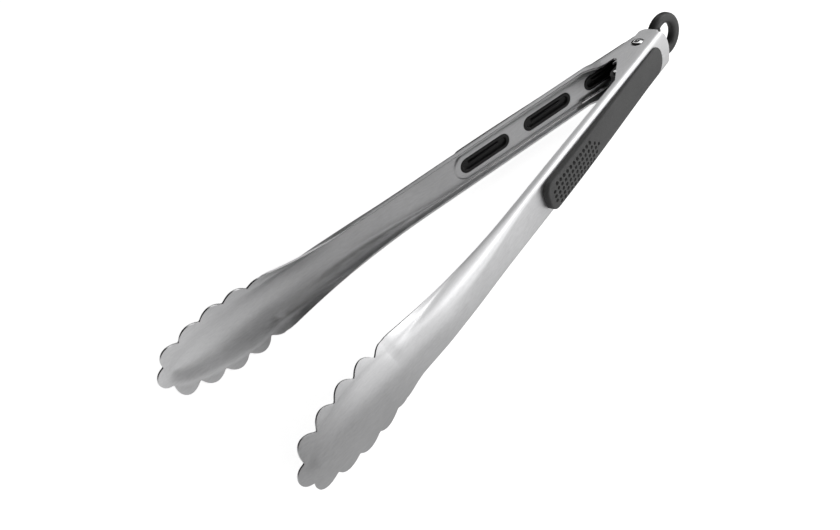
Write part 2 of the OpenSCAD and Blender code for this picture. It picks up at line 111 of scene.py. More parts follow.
# ---------------------------------------------------------------- sizes: ears and rear end
EAR_FRONT = 14.0                     # the ears start to slope up to the flanges
EAR_END = 33.0                       # and meet them
EAR_CORNER = 4.0
EAR_GAP = 0.2
NARROW_END = 20.0                    # the narrow ears start to widen
FULL_START = 30.0                    # and have the handle's width
OUTER_HALF = HANDLE_W / 2
INNER_HALF = OUTER_HALF - SHEET_T - EAR_GAP
OUTER_EARS = {"ear_depth": 3.9, "rear_half": OUTER_HALF, "rear": 12.0, "bulge": 2.4}
INNER_EARS = {"ear_depth": 3.4, "rear_half": INNER_HALF, "rear": 11.0, "bulge": 0.4}
BOW_HALF = 11.0
CUT_PAST = 9.0                       # how far the rear cutters reach behind the ears
CUT_OVERLAP = 0.013                  # of the ears' rear cutter and the back's
FLAT_R = 3.45                        # the flats round the rivet's heads
FLAT_DEPTH = 0.4

# ---------------------------------------------------------------- sizes: slots, seat and grips
SLOTS = [17.0 + 40.0 * i for i in range(3)]
SLOT_L = 30.5
SLOT_W = 8.2
SEAT_REAR = -3.0
SEAT_FRONT = 116.0
SEAT_R = 7.3
SEAT_H = 0.4                         # in the part; it is drawn a little deeper
GRIP_REAR = -5.0
GRIP_FRONT = 113.5
GRIP_HALF = 7.5
GRIP_CORNER = 5.0
GRIP_REAR_CORNER = 7.0
GRIP_FIT = 0.1
GRIP_REAR_EDGE_H = 1.0               # the long edges above the back
GRIP_FRONT_EDGE_H = 3.2
GRIP_REAR_H = 1.4                    # the middle above the back
GRIP_H = 4.8
GRIP_CREST_X = 86.0
GRIP_DROP = 1.0
GRIP_FLAT = 3.5
GRIP_SIDE = 0.42                     # share of the edges' height that stands upright
GRIP_EDGE_R = 0.8
CORE_T = 0.8
CORE_MARGIN = 1.3
BOSS_FLOOR = 0.06
RIB_HALF_L = 9.6
RIB_HALF_W = 0.55
RIB_H = 0.84
RIB_EDGE = 0.14
DOT_START = 69.6
DOT_STEP = 3.08
DOT_SPREAD = 2.5
DOT_ROWS = 14
DOT_COLUMNS = 5
DOT_SIDES = 10

# ---------------------------------------------------------------- sizes: pivot, spring and lock
RIVET_R = 2.2
RIVET_HEAD_R = 3.0
RIVET_HEAD_H = 0.9
RIVET_BORE_R = 1.3
RIVET_BORE_END = 5.9
PIVOT_FIT = 0.05
BUSH_WALL = 0.7
SLIDER_GAP = 0.3
PRONG_T = 2.0
PRONG_Z = INNER_HALF - SHEET_T - SLIDER_GAP - PRONG_T
BUSH_HALF = PRONG_Z - SLIDER_GAP
BUSH_R = RIVET_R + PIVOT_FIT + BUSH_WALL
WIRE_R = 0.85
COIL_TURNS = 4
COIL_GAP = 0.2
COIL_FIT = 0.25
COIL_R = BUSH_R + COIL_FIT + WIRE_R
COIL_HALF = COIL_TURNS * (2 * WIRE_R + COIL_GAP) / 2
COIL_STEPS = 150
LEG_REACH = 37.0
LEG_Z = PRONG_Z + PRONG_T / 2
LEG_END_H = BACK_H + BACK_SLOPE * LEG_REACH - SHEET_T - SEAT_H - WIRE_R - COIL_FIT
LEG_ANGLE = math.asin((LEG_END_H - COIL_R) / LEG_REACH)
LOCK_TRAVEL = 8.0
LOCK_PIN_X = 24.0
LOCK_PIN_R = 1.25
LOCK_PIN_INSET = 0.05                # its ends lie this far inside the ears' outsides
LOCK_PIN_HALF = INNER_HALF - LOCK_PIN_INSET
HOOK_X = LOCK_PIN_X - LOCK_TRAVEL
HOOK_R = LOCK_PIN_R + 0.2
RING_X = 22.4                        # the ring's centre behind the pivot
RING_LIFT = 1.4
RING_HOLE_R = 6.35
RING_T = 5.3
RING_EDGE_R = 2.1
PRONG_SLOT_R = RIVET_R + SLIDER_GAP
PRONG_WALL = 1.5
PRONG_ROOT = 5.0
PRONG_BELOW = 3.2
PRONG_REAR_BELOW = 2.4
PRONG_ABOVE = 3.8


# ---------------------------------------------------------------- helpers
def mix(a, b, t):
    return a + (b - a) * t


def ease(t):
    t = min(1.0, max(0.0, t))
    return t * t * (3 - 2 * t)


def arc(start, end, steps):
    """Angles in radians from start to end, which are in degrees and both included."""
    return [math.radians(start + (end - start) * i / steps) for i in range(steps + 1)]


def new_object(name, points, faces, same=1e-7, flat=None):
    """A mesh object from points in metres: points nearer than same become one, edges shorter than
    flat go, and faces look outwards."""
    me = bpy.data.meshes.new(name)
    me.from_pydata([tuple(p) for p in points], [], faces)
    bm = bmesh.new()
    bm.from_mesh(me)
    bmesh.ops.remove_doubles(bm, verts=bm.verts, dist=same)
    if flat:
        bmesh.ops.dissolve_degenerate(bm, edges=bm.edges, dist=flat)
    bmesh.ops.recalc_face_normals(bm, faces=bm.faces)
    bm.to_mesh(me)
    bm.free()
    ob = bpy.data.objects.new(name, me)
    bpy.context.collection.objects.link(ob)
    return ob


def pivot_object(name, points, faces):
    """An object drawn round the rivet's axis, in mm."""
    return new_object(name, [Vector(p) * MM for p in points], faces)


def arm_object(name, points, faces, side):
    """An object drawn in a closed arm's frame, in mm, and turned onto the open arm: side is 1 for
    the outer arm and -1 for the inner one. Its own axes stay the arm's, which the grain follows."""
    points = [(x * MM, side * y * MM, z * MM) for x, y, z in points]
    ob = new_object(name, points, faces, same=2e-6, flat=1e-7)
    ob.matrix_world = Matrix.Rotation(side * OPEN_ANGLE, 4, "Z")
    return ob


def finish_object(ob, material, body, cad_node, sharp=40.0, edge=None):
    """Gives a piece its material, smooth shading up to a sharp angle and, if given, a body, and hides its
    CAD node.
    """
    ob.data.materials.clear()
    ob.data.materials.append(material)
    for p in ob.data.polygons:
        p.use_smooth = True
    if edge:
        b = ob.modifiers.new("edge", "BEVEL")
        b.width = edge * MM
        b.segments = 3
        b.limit_method = "ANGLE"
        b.angle_limit = math.radians(40)
        b.harden_normals = True
    ob.data.set_sharp_from_angle(angle=math.radians(sharp))
    if body:
        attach(ob, body)
    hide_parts(cad_node)


def cut(ob, cutters, operation="DIFFERENCE"):
    """Cuts the cutters out of an object, or unites them with it, and removes them."""
    for cutter in cutters:
        m = ob.modifiers.new("cut", "BOOLEAN")
        m.operation = operation
        m.solver = "EXACT"
        m.object = cutter
    bpy.context.view_layer.update()
    me = bpy.data.meshes.new_from_object(ob.evaluated_get(bpy.context.evaluated_depsgraph_get()))
    ob.modifiers.clear()
    ob.data = me
    for cutter in cutters:
        bpy.data.objects.remove(cutter)


def prism(loop, axis, lo, hi):
    """Closed prism through a plan loop: axis 'y' takes (x, z) points, axis 'z' takes (x, y) points."""
    n = len(loop)

    def put(p, h):
        return (p[0], h, p[1]) if axis == "y" else (p[0], p[1], h)

    points = [put(p, lo) for p in loop] + [put(p, hi) for p in loop]
    faces = [tuple(range(n)), tuple(range(2 * n - 1, n - 1, -1))]
    faces += [(i, (i + 1) % n, n + (i + 1) % n, n + i) for i in range(n)]
    return points, faces


def loft(rings):
    """Closed skin over a row of loops that have as many points each."""
    n, last = len(rings[0]), (len(rings) - 1) * len(rings[0])
    points = [p for ring in rings for p in ring]
    faces = []
    for i in range(0, last, n):
        for j in range(n):
            a, b = i + j, i + (j + 1) % n
            faces.append((a, b, b + n, a + n))
    faces.append(tuple(range(n - 1, -1, -1)))
    faces.append(tuple(range(last, last + n)))
    return points, faces


def lathe(profile, sides):
    """Turns a closed loop of (r, z) points about Z."""
    points, faces = [], []
    n = len(profile)
    for i in range(sides):
        a = 2 * math.pi * i / sides
        points += [(r * math.cos(a), r * math.sin(a), z) for r, z in profile]
    for i in range(sides):
        after = ((i + 1) % sides) * n
        for j in range(n):
            k = (j + 1) % n
            faces.append((i * n + j, i * n + k, after + k, after + j))
    return points, faces


def tube(path, r, sides=20):
    """Round wire along a path of Vectors, with slightly rounded ends."""
    last_place = len(path) - 1
    rows = []
    for i, place in enumerate(path):
        way = (path[min(i + 1, last_place)] - path[max(i - 1, 0)]).normalized()
        rows.append((place, way, r))
    rounding = ((1.0, 0.55), (0.8, 0.85), (0.35, 0.98))
    bulge = 0.12 * r
    start, end = rows[0][1], rows[-1][1]
    start_cap = [(path[0] - start * bulge * out, start, r * share) for out, share in rounding]
    end_cap = [(path[-1] + end * bulge * out, end, r * share) for out, share in rounding[::-1]]
    loops = []
    for centre, way, radius in start_cap + rows + end_cap:
        side = Vector((0, 0, 1)).cross(way).normalized()
        up = way.cross(side)
        turns = [2 * math.pi * j / sides for j in range(sides)]
        loops.append([centre + radius * (math.cos(b) * side + math.sin(b) * up) for b in turns])
    return loft(loops)


def stadium(centre_x, length, width, steps=24):
    r = width / 2
    loop = []
    for end, start in ((1, -90), (-1, 90)):
        x = centre_x + end * (length / 2 - r)
        loop += [(x + r * math.cos(a), r * math.sin(a)) for a in arc(start, start + 180, steps)]
    return loop


def rounded_plan(margin, step, corner_steps):
    """Outline of a grip as (x, z), a margin inside its edge, with a point at least every step."""
    x0, x1, half = GRIP_REAR + margin, GRIP_FRONT - margin, GRIP_HALF - margin
    front, rear = GRIP_CORNER - margin, GRIP_REAR_CORNER - margin
    along, across = x1 - x0 - front - rear, 2 * half - 2 * front
    count, end_count = max(2, int(along / step)), max(1, int(across / step))

    def corner(x, z, r, start):
        angles = arc(start, start + 90, corner_steps)[:-1]
        return [(x + r * math.cos(a), z + r * math.sin(a)) for a in angles]

    plan = [(x0 + rear + along * i / count, -half) for i in range(count)]
    plan += corner(x1 - front, front - half, front, -90)
    plan += [(x1, front - half + across * i / end_count) for i in range(end_count)]
    plan += corner(x1 - front, half - front, front, 0)
    plan += [(x1 - front - along * i / count, half) for i in range(count)]
    plan += corner(x0 + rear, half - rear, rear, 90)
    plan.append((x0, half - rear))
    plan += corner(x0 + rear, rear - half, rear, 180)
    return plan


def on_back(p):
    """From the plane of an arm's back (x, height above it, z) to the closed arm's frame."""
    tilt = math.atan(BACK_SLOPE)
    c, s = math.cos(tilt), math.sin(tilt)
    return (p[0] * c - p[1] * s, BACK_H + p[0] * s + p[1] * c, p[2])


# ---------------------------------------------------------------- shape of an arm, as in the CAD
def back_v(x):
    """Height of the back."""
    if x <= CREST_X:
        return BACK_H + BACK_SLOPE * x + NECK_RISE * ease((x - NECK_START) / (CREST_X - NECK_START))
    crest_h = BACK_H + BACK_SLOPE * CREST_X + NECK_RISE
    fall = (x - CREST_X) / (REACH - CREST_X)
    return mix(crest_h, TIP_BACK_H, (1 + CREST_SOFT) * fall * fall / (fall + CREST_SOFT))


def dish(x):
    """How far the folded channel has opened into the shallow dish of the head, from 0 to 1."""
    return ease((x - DISH_START) / (DISH_END - DISH_START))


def rim_slope(x):
    return mix(math.pi / 2, RIM_SLOPE, dish(x))


def fold_r(x):
    return mix(FOLD_R, NECK_FOLD_R, ease((x - NECK_START) / (CREST_X - NECK_START)))


# The notches between the scallops lie on half an ellipse about HEAD_X
NOSE_L = REACH - HEAD_X - TIP_DEPTH * math.cos(RIM_SLOPE)
NOSE_HALF = HEAD_W / 2 - SCALLOP_DEPTH * math.cos(RIM_SLOPE)


def nose(a):
    return HEAD_X + NOSE_L * math.sin(a), NOSE_HALF * math.cos(a)


def nose_walk():
    """Angles of even steps along that ellipse, from the tip back to the last scallop."""
    substeps = 4
    step = SCALLOP_PITCH / SCALLOP_STEPS / substeps
    a = math.pi / 2
    angles = [a]
    for _ in range(SIDE_SCALLOPS * SCALLOP_STEPS):
        for _ in range(substeps):
            a -= step / math.hypot(NOSE_L * math.cos(a), NOSE_HALF * math.sin(a))
        angles.append(a)
    return angles


HEAD_ANGLES = nose_walk()
JOIN_X = nose(HEAD_ANGLES[-1])[0]
JOIN_HALF = nose(HEAD_ANGLES[-1])[1] + SCALLOP_DEPTH * math.cos(rim_slope(JOIN_X))


def flange_v(x):
    """Height of the flange edges and, past JOIN_X, of the head's rim."""
    if x <= JOIN_X:
        return mix(RIM_H, HEAD_RIM_H, ease((x - RIM_START) / (JOIN_X - RIM_START)))
    return mix(HEAD_RIM_H, TIP_RIM_H, (x - JOIN_X) / (REACH - JOIN_X))


def rim_v(x, ear_depth):
    """The same, with the ears at the rear."""
    if x < EAR_END:
        return mix(-ear_depth, RIM_H, min(1, max(0, (x - EAR_FRONT) / (EAR_END - EAR_FRONT))))
    return flange_v(x)


def rim_half(x, rear_half):
    """Half the width at the rim, up to the head."""
    if x <= NECK_X:
        return mix(rear_half, OUTER_HALF, ease((x - NARROW_END) / (FULL_START - NARROW_END)))
    return mix(OUTER_HALF, JOIN_HALF, min(1, (x - NECK_X) / (CORNER_X - NECK_X)) ** NECK_POWER)


def half_section(half, top, edge, opened, r):
    """Outside skin from the middle (0, top) to the edge (half, edge): a folded channel, or a
    shallow dish where it has opened."""
    flat = half - r
    channel = [(flat * share, top) for share in (0, 0.3, 0.6, 0.85)]
    channel += [(flat + r * math.sin(a), top - r + r * math.cos(a)) for a in arc(0, 90, FOLD_STEPS)]
    channel += [(half, mix(top - r, edge, share)) for share in (0.3, 0.6, 0.85, 1)]
    shares = [0, 0.16, 0.3, 0.42]
    shares += [0.5 + 0.36 * i / FOLD_STEPS for i in range(FOLD_STEPS + 1)]
    shares += [0.9, 0.94, 0.97, 1]
    section = []
    for (z, y), s in zip(channel, shares):
        dish_y = edge + (top - edge) * (1 - s * s) * (1 - FLARE * s * s)
        section.append((mix(z, s * half, opened), mix(y, dish_y, opened)))
    return section


def half_ring(middle, rim, away, top, edge, lip):
    """Half a cross section as a closed loop: the outside from the middle to the rim, round its edge
    and back along the inside. middle and rim are plan places, away is the way that the rim faces,
    top and edge are their heights, and lip is the length of the sheet beyond the rim's place."""
    half = math.hypot(rim[0] - middle[0], rim[1] - middle[1])
    toward = ((rim[0] - middle[0]) / half, (rim[1] - middle[1]) / half)
    fold = min(fold_r(middle[0]), top - edge - LEAST_FLANGE)
    outside = half_section(half, top, edge, dish(rim[0]), fold)
    inside, last_place = [], len(outside) - 1
    for j, (z, y) in enumerate(outside):
        before, after = outside[max(j - 1, 0)], outside[min(j + 1, last_place)]
        run = (1, 0) if j == 0 else (after[0] - before[0], after[1] - before[1])
        length = math.hypot(*run)
        inside.append((z + SHEET_T * run[1] / length, y - SHEET_T * run[0] / length))

    def put(p):
        return (middle[0] + p[0] * toward[0], p[1], middle[1] + p[0] * toward[1])

    slope = rim_slope(rim[0])
    flat = lip * math.cos(slope)
    step = (flat * away[0], -lip * math.sin(slope), flat * away[1])

    def along_lip(p, share):
        return tuple(p[i] + share * step[i] for i in range(3))

    outer, inner = [put(p) for p in outside], [put(p) for p in inside]
    outer_rim, inner_rim = outer[-1], inner[-1]
    rounding = []
    for through, share in ((0.02, 0.72), (0.16, 0.93), (0.5, 1.0), (0.84, 0.93), (0.98, 0.72)):
        p = tuple(mix(outer_rim[i], inner_rim[i], through) for i in range(3))
        rounding.append(along_lip(p, 1.0 + (share - 1.0) * EDGE_ROUND / lip))
    between = (0.33, 0.7)
    outer += [along_lip(outer_rim, share) for share in between]
    inner += [along_lip(inner_rim, share) for share in between]
    return outer + rounding + inner[::-1]


def handle_ring(x, ear_depth, rear_half):
    """Ring of the handle or the neck at a distance x from the pivot."""
    lip = mix(LEAST_LIP, SCALLOP_DEPTH, min(1, dish(x) * LIP_GROWTH))
    slope = rim_slope(x)
    half = rim_half(x, rear_half) - lip * math.cos(slope)
    edge = rim_v(x, ear_depth) + lip * math.sin(slope) + SHEET_T * dish(x)
    return half_ring((x, 0), (x, half), (0, 1), back_v(x), edge, lip)


def head_ring(i):
    """Ring through step i of the head's ellipse. The scallops are round lobes with sharp notches."""
    a = HEAD_ANGLES[i]
    rim = nose(a)
    spine = NOSE_L - (SPINE_END if a > 0 else 0)
    middle = (HEAD_X + spine * math.sin(a), 0)
    lobes = i / SCALLOP_STEPS + 0.5
    u = lobes % 1 - 0.5
    depth = (TIP_DEPTH, FRONT_DEPTH, SCALLOP_DEPTH)[min(int(lobes), 2)]
    lip = max(LEAST_LIP, depth * (1 - 4 * u * u))
    normal = (NOSE_HALF * math.sin(a), NOSE_L * math.cos(a))
    length = math.hypot(*normal)
    away = (normal[0] / length, normal[1] / length)
    edge = flange_v(rim[0]) + SCALLOP_DEPTH * math.sin(rim_slope(rim[0])) + SHEET_T * dish(rim[0])
    return half_ring(middle, rim, away, back_v(middle[0]), edge, lip)


def stations(rear_end):
    """Distances from the pivot at which the handle and the neck have a cross section."""
    xs = [rear_end, -6.0, 4.0, EAR_FRONT, 17.0, EAR_END]
    xs += [NARROW_END + i for i in range(11)]
    xs += [40.0 + 10 * i for i in range(8)]
    xs += [NECK_START + NECK_STEP * i for i in range(6)]
    count = int((JOIN_X - NECK_X) / NECK_STEP)
    xs += [NECK_X + (JOIN_X - NECK_X) * i / count for i in range(count)]
    return sorted(set(xs))


def arm_skin(name, side, ear_depth, rear_half, rear_end):
    """The bent sheet: two mirrored halves that share their middle and the tip."""
    halves = [handle_ring(x, ear_depth, rear_half) for x in stations(rear_end)]
    halves += [head_ring(i) for i in range(SIDE_SCALLOPS * SCALLOP_STEPS, -1, -1)]
    m = len(halves[0])
    points = [p for half in halves for p in half]
    base = len(points)
    points += [(x, y, -z) for x, y, z in points]
    faces = []
    for i in range(len(halves) - 1):
        for j in range(m - 1):
            a, b = i * m + j, (i + 1) * m + j
            faces.append((a, a + 1, b + 1, b))
            faces.append((base + b, base + b + 1, base + a + 1, base + a))
    for a in range((m - 1) // 2):
        b = m - 1 - a
        faces.append((a, b, b - 1, a + 1))
        faces.append((base + a + 1, base + b - 1, base + b, base + a))
    return arm_object(name, points, faces, side)


def seat(side):
    """Low raised seat inside the back, round the slots, with a round front end and a soft edge."""
    centre = SEAT_FRONT - SEAT_R
    plan = [(SEAT_REAR, -SEAT_R), (SEAT_REAR, SEAT_R)]
    plan += [(centre + SEAT_R * math.sin(a), SEAT_R * math.cos(a)) for a in arc(0, 180, 32)]
    rows = []
    for inset, rise in ((0.0, -0.4), (0.0, 0.02), (0.3, 0.12), (0.8, 0.48), (1.1, 0.56)):
        k = 1 - inset / SEAT_R
        y = -SHEET_T - rise
        rows.append([on_back((x if x < 0 else mix(centre, x, k), y, z * k)) for x, z in plan])
    return arm_object("seat", *loft(rows), side)


def ear_cut_loop(ear_depth, rear, split):
    """Side view of what is cut off behind the ears: they end square, with a round lower corner."""
    far, low = -rear - CUT_PAST, -ear_depth - 4
    loop = [(far, split), (far, low), (EAR_CORNER - rear, low)]
    for a in arc(0, 90, 12):
        loop.append((EAR_CORNER * (1 - math.sin(a)) - rear, EAR_CORNER * (1 - math.cos(a)) - ear_depth))
    loop.append((-rear, split))
    return loop


def back_cut_loop(rear_half, rear, bulge):
    """Plan of what is cut off behind the back, which ends in a bow."""
    half = rear_half - FOLD_R
    r = (half * half + bulge * bulge) / (2 * bulge)
    steps = 40
    bow = []
    for i in range(steps + 1):
        z = mix(-BOW_HALF, BOW_HALF, i / steps)
        bow.append((r - rear - bulge - math.sqrt(r * r - z * z), z))
    far, side = -rear - CUT_PAST, BOW_HALF + 0.5
    return [(far, -side), (bow[0][0], -side)] + bow + [(bow[-1][0], side), (far, side)]


def arm(name, side, ear_depth, rear_half, rear, bulge):
    """A stamped arm. The outer one has flats round the rivet's heads, and the inner one has hooks."""
    ob = arm_skin(name, side, ear_depth, rear_half, -(rear + bulge + 1))
    cut(ob, [seat(side)], "UNION")
    cutters = []

    def cutter(loop, axis, lo, hi):
        cutters.append(arm_object("cutter", *prism(loop, axis, lo, hi), side))

    split = BACK_H - SHEET_T - FOLD_R
    cutter(ear_cut_loop(ear_depth, rear, split), "z", -HANDLE_W, HANDLE_W)
    cutter(back_cut_loop(rear_half, rear, bulge), "y", split - CUT_OVERLAP, 14)
    for x in SLOTS:
        cutter(stadium(x, SLOT_L, SLOT_W), "y", 3.0, 12.0)
    if side > 0:
        flat = [(FLAT_R * math.cos(a), FLAT_R * math.sin(a)) for a in arc(0, 360, 48)[:-1]]
        cutter(flat, "z", OUTER_HALF - FLAT_DEPTH, OUTER_HALF + 1)
        cutter(flat, "z", -OUTER_HALF - 1, FLAT_DEPTH - OUTER_HALF)
    else:
        hook = [(HOOK_X - HOOK_R * math.sin(a), HOOK_R * math.cos(a)) for a in arc(0, 180, 20)]
        cutter(hook + [(EAR_END, -HOOK_R), (EAR_END, HOOK_R)], "z", -HANDLE_W, HANDLE_W)
    cut(ob, cutters)
    return ob


# ---------------------------------------------------------------- grips
def grip_edge(x):
    """Height of a grip's long edges above the back."""
    return mix(GRIP_REAR_EDGE_H, GRIP_FRONT_EDGE_H, (x - GRIP_REAR) / (GRIP_FRONT - GRIP_REAR))


def grip_middle(x):
    if x < GRIP_CREST_X:
        return mix(GRIP_REAR_H, GRIP_H, ease((x - GRIP_REAR) / (GRIP_CREST_X - GRIP_REAR)))
    return GRIP_H - GRIP_DROP * ((x - GRIP_CREST_X) / (GRIP_FRONT - GRIP_CREST_X)) ** 2


def grip_dots(side):
    """Cutter for the sunk dots: columns towards the front end, the outer ones shorter."""
    points, faces = [], []
    middle = DOT_COLUMNS // 2
    for i in range(DOT_ROWS):
        for j in range(DOT_COLUMNS):
            off = abs(j - middle)
            if i < off or i > DOT_ROWS - off:
                continue
            x, z = DOT_START + DOT_STEP * i, DOT_SPREAD * (j - middle)
            crown = 1 - (abs(z) / GRIP_HALF) ** GRIP_FLAT
            y = grip_edge(x) + (grip_middle(x) - grip_edge(x)) * crown
            b, n = len(points), DOT_SIDES
            for r, height in ((1.1, 0.3), (0.92, -1.2)):
                for k in range(n):
                    a = 2 * math.pi * k / n
                    points.append(on_back((x + r * math.cos(a), y + height, z + 0.85 * r * math.sin(a))))
            faces += [tuple(range(b, b + n)), tuple(range(b + 2 * n - 1, b + n - 1, -1))]
            faces += [(b + k, b + (k + 1) % n, b + n + (k + 1) % n, b + n + k) for k in range(n)]
    return arm_object("cutter", points, faces, side)


def grip_cover(name, side):
    """The soft cover: upright sides, a rounded edge and a bowed, crowned top with sunk dots."""
    plan = rounded_plan(0.0, 2.0, 8)
    lo, hi = GRIP_REAR + GRIP_HALF, GRIP_FRONT - GRIP_HALF

    def inward(p, inset):
        share = inset / GRIP_HALF
        return mix(p[0], min(hi, max(lo, p[0])), share), mix(p[1], 0.0, share)

    def at(p, inset, y):
        x, z = inward(p, inset)
        return on_back((x, y, z))

    def height(p, inset):
        x = inward(p, inset)[0]
        crown = 1 - (1 - inset / GRIP_HALF) ** GRIP_FLAT
        return grip_edge(x) + max(0.0, grip_middle(x) - grip_edge(x)) * crown

    def edge_r(p):
        return min(GRIP_EDGE_R, grip_edge(p[0]) * 0.55)

    rows = []
    for share in (0.0, 0.3, 0.65):
        rows.append([at(p, 0, GRIP_FIT + grip_edge(p[0]) * GRIP_SIDE * share) for p in plan])
    for a in arc(0, 90, 5):
        out, down = 1 - math.cos(a), 1 - math.sin(a)
        rows.append([at(p, edge_r(p) * out, height(p, edge_r(p)) - edge_r(p) * down) for p in plan])
    for inset in (1.2, 1.7, 2.3, 3.0, 3.8, 4.6, 5.4, 6.2, 6.9, 7.5):
        rows.append([at(p, inset, height(p, inset)) for p in plan])
    points, faces = loft(rows)
    ob = arm_object(name, points, faces[:-1], side)    # the last row is one line, with no face on it
    cut(ob, [grip_dots(side)])
    return ob


def boss(centre_x):
    """A hard boss that fills a slot, with a sunk middle."""
    rows = []
    for inset, depth in ((0, 0.0), (0, 1.35), (0.12, 1.52), (0.3, 1.6), (1.45, 1.6), (1.62, 1.52),
                         (1.7, 1.35), (1.85, 0.35), (2.05, 0.12), (2.3, BOSS_FLOOR)):
        less = 2 * (GRIP_FIT + inset)
        loop = stadium(centre_x, SLOT_L - less, SLOT_W - less, 16)
        rows.append([on_back((x, -depth, z)) for x, z in loop])
    return loft(rows)


def rib(centre_x):
    """A low rib with bevelled edges along a boss's sunk middle."""
    end = [(RIB_HALF_L, 0.0), (RIB_HALF_L - 0.4, 0.69), (RIB_HALF_L - 0.7, RIB_H)]
    side = [(-x, h) for x, h in end] + end[::-1]
    points, faces, n = [], [], len(side)
    for z, drop in ((-RIB_HALF_W, RIB_EDGE), (-0.4, 0.0), (0.4, 0.0), (RIB_HALF_W, RIB_EDGE)):
        points += [on_back((centre_x + x, -BOSS_FLOOR - max(0.0, h - drop), z)) for x, h in side]
    for i in range(0, 3 * n, n):
        faces += [(a, a + 1, a + n + 1, a + n) for a in range(i, i + n - 1)]
    faces.append(tuple(range(n - 1, -1, -1)))
    faces.append(tuple(range(3 * n, 4 * n)))
    return points, faces


def core_plate():
    """The hard plate between the back and the cover."""
    plan = rounded_plan(CORE_MARGIN, 8.0, 6)
    return loft([[on_back((x, y, z)) for x, z in plan] for y in (GRIP_FIT, GRIP_FIT + CORE_T)])


def grip_core(name, side):
    """The hard core, whose bosses show inside the arm through its slots."""
    shells = [make(x) for x in SLOTS for make in (boss, rib)] + [core_plate()]
    points, faces = [], []
    for shell_points, shell_faces in shells:
        base = len(points)
        points += shell_points
        faces += [tuple(base + i for i in face) for face in shell_faces]
    return arm_object(name, points, faces, side)


# ---------------------------------------------------------------- pivot, spring and lock
def rivet():
    """Rivet with domed heads, and a hollow with a rolled lip in its upper end."""
    r, top, near_axis = RIVET_HEAD_R, OUTER_HALF, 0.02
    loop = [(RIVET_R, 0.01 - top), (r - 0.07, -top), (r, -top - 0.12)]
    loop += [(r * math.cos(a), -top - RIVET_HEAD_H * math.sin(a) ** 0.85) for a in arc(12, 84, 9)]
    loop += [(near_axis, -top - RIVET_HEAD_H), (near_axis, RIVET_BORE_END)]
    loop += [(RIVET_BORE_R - 0.04, RIVET_BORE_END), (RIVET_BORE_R, RIVET_BORE_END + 0.1)]
    loop += [(RIVET_BORE_R + out, top + up) for out, up in ((0.0, 0.45), (0.02, 0.62), (0.12, 0.76))]
    dome = [(r * math.sin(a), top - 0.01 + RIVET_HEAD_H * math.cos(a) ** 0.8) for a in arc(25, 85, 10)]
    loop += [p for p in dome if p[0] > RIVET_BORE_R + 0.2]
    loop += [(r, top + 0.12), (r - 0.07, top), (RIVET_R, top - 0.01)]
    return pivot_object("pivot_rivet_body", *lathe(loop, 64))


def bush():
    bore, half, edge = RIVET_R + PIVOT_FIT + 0.01, BUSH_HALF, 0.2
    loop = [(bore, -half), (BUSH_R - edge, -half), (BUSH_R, edge - half)]
    loop += [(r, -z) for r, z in loop[::-1]]
    return pivot_object("spring_bush_body", *lathe(loop, 64))


def leg(along, z, side):
    """A place on a spring's leg, which leans from the coil to the inside of its arm's back."""
    out = COIL_R / math.cos(LEG_ANGLE) + along * math.tan(LEG_ANGLE)
    c, s = math.cos(OPEN_ANGLE), math.sin(OPEN_ANGLE)
    return Vector((along * c - out * s, side * (along * s + out * c), side * z))


def spring():
    """Coil round the bush, from the inner arm's leg at the bottom to the outer arm's at the top.
    Each leg swings out from the coil's end to the middle of a prong's thickness."""
    line = [(x, LEG_Z) for x in (LEG_REACH, 33.0, 28.0, 24.0)]
    line += [(21.0, 6.45), (19.5, 6.3), (18.0, 5.95), (16.0, 5.15), (14.0, 4.35), (12.5, 3.97), (11.0, 3.82)]
    line += [(x, COIL_HALF) for x in (8.0, 5.0, 2.0)]
    start = -math.pi / 2 - OPEN_ANGLE - LEG_ANGLE
    sweep = 2 * math.pi * COIL_TURNS + 2 * start
    path = [leg(x, z, -1) for x, z in line]
    for i in range(COIL_STEPS + 1):
        a = start - sweep * i / COIL_STEPS
        z = mix(-COIL_HALF, COIL_HALF, i / COIL_STEPS)
        path.append(Vector((COIL_R * math.cos(a), COIL_R * math.sin(a), z)))
    path += [leg(x, z, 1) for x, z in line[::-1]]
    return new_object("torsion_spring_wire", *tube([p * MM for p in path], WIRE_R * MM))


def prong(z):
    """One prong of the slider, with a rounded nose past the pin and a slot that runs on the rivet."""
    back, step = PRONG_ROOT - RING_X, -PRONG_SLOT_R - PRONG_WALL
    past_pin = ((-0.8, -PRONG_BELOW), (0.3, -3.0), (2.4, -2.1), (3.0, -1.2),
                (3.0, 1.2), (2.4, 2.1), (0.6, 3.3), (-0.8, PRONG_ABOVE))
    loop = [(back, -PRONG_REAR_BELOW), (step, -PRONG_REAR_BELOW), (step, -PRONG_BELOW)]
    loop += [(LOCK_PIN_X + x, y) for x, y in past_pin] + [(back, PRONG_ABOVE)]
    slot = []
    for x, start in ((LOCK_TRAVEL, -90), (0.0, 90)):
        slot += [(x + PRONG_SLOT_R * math.cos(a), PRONG_SLOT_R * math.sin(a))
                 for a in arc(start, start + 180, 18)]
    ob = arm_object("prong", *prism(loop, "z", z, z + PRONG_T), 1)
    cut(ob, [arm_object("cutter", *prism(slot, "z", z - 1, z + PRONG_T + 1), 1)])
    return ob


